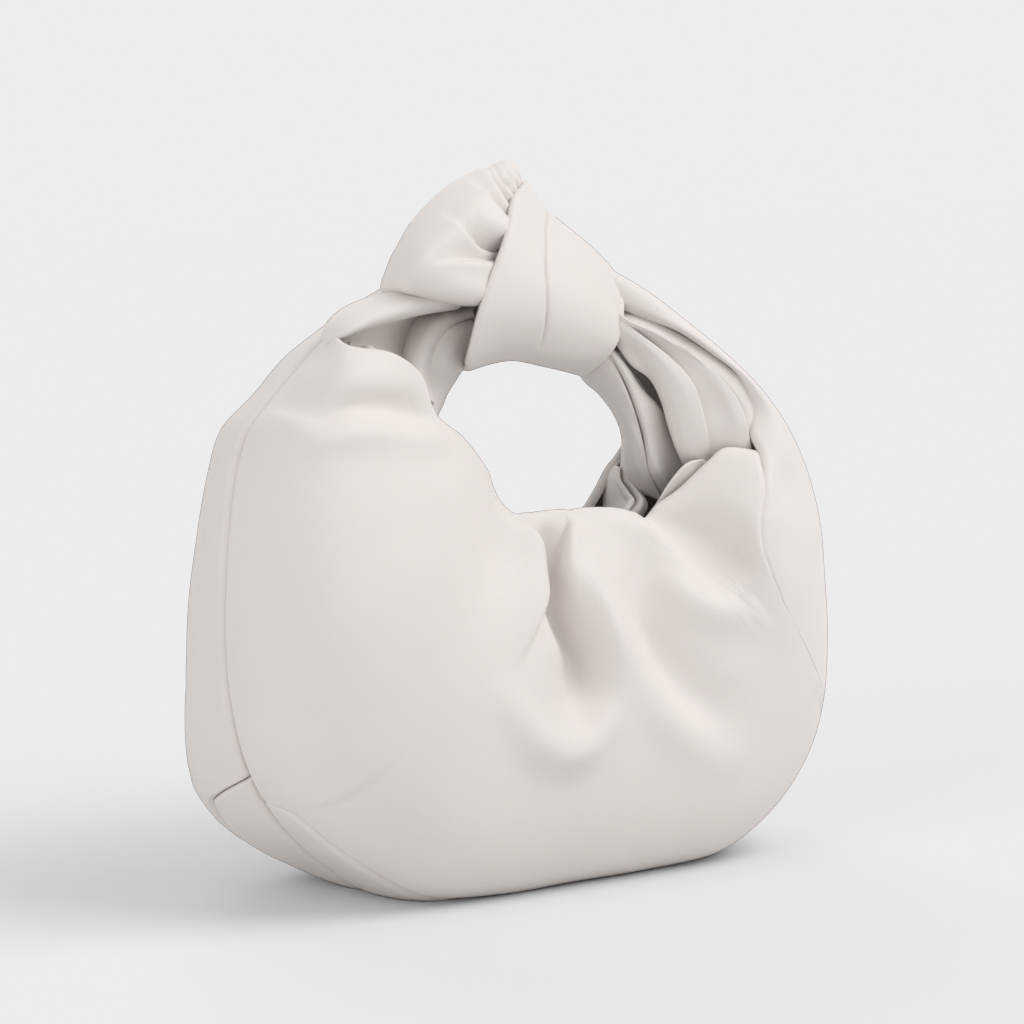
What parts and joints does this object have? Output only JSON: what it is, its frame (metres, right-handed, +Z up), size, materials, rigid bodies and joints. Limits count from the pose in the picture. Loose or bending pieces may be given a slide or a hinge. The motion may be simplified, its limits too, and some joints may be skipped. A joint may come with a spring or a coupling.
{
  "type": "handbag",
  "caption": "Small slouchy leather handbag that stands on its base, with a gathered top handle tied in one large knot over the hand hole and a mouth between two free lips.",
  "frame": {"origin": "on the surface that the bag stands on, under the middle of the bag", "axes": "+X to the right of someone who faces the bag's front, -Y out of the front, +Z up"},
  "size_m": [0.3, 0.1389, 0.308],
  "materials": {
    "ivory_leather": "matte, very fine grain",
    "facing_leather": "matte",
    "lining": "woven cotton",
    "board": "plain",
    "snap_metal": "satin"
  },
  "bodies": {
    "body": {"front_panel": "ivory_leather", "back_panel": "ivory_leather", "front_base_panel": "ivory_leather", "back_base_panel": "ivory_leather", "base_board": "board", "front_lining": "lining", "back_lining": "lining", "front_facing": "facing_leather", "back_facing": "facing_leather", "inner_pocket": "lining", "snap_stud": "snap_metal", "snap_socket": "snap_metal", "snap_stud_washer": "snap_metal", "snap_socket_washer": "snap_metal"},
    "handle": {"left_handle_arm": "ivory_leather", "right_handle_arm": "ivory_leather", "knot_wrap": "ivory_leather", "knot_core": "ivory_leather", "knot_loop": "ivory_leather"}
  },
  "joints": [
    {"name": "handle_swing", "type": "hinge", "parent": "body", "child": "handle", "pos_m": [0, 0, 0.205], "axis": [1, 0, 0], "range_deg": [-30, 30]}
  ]
}
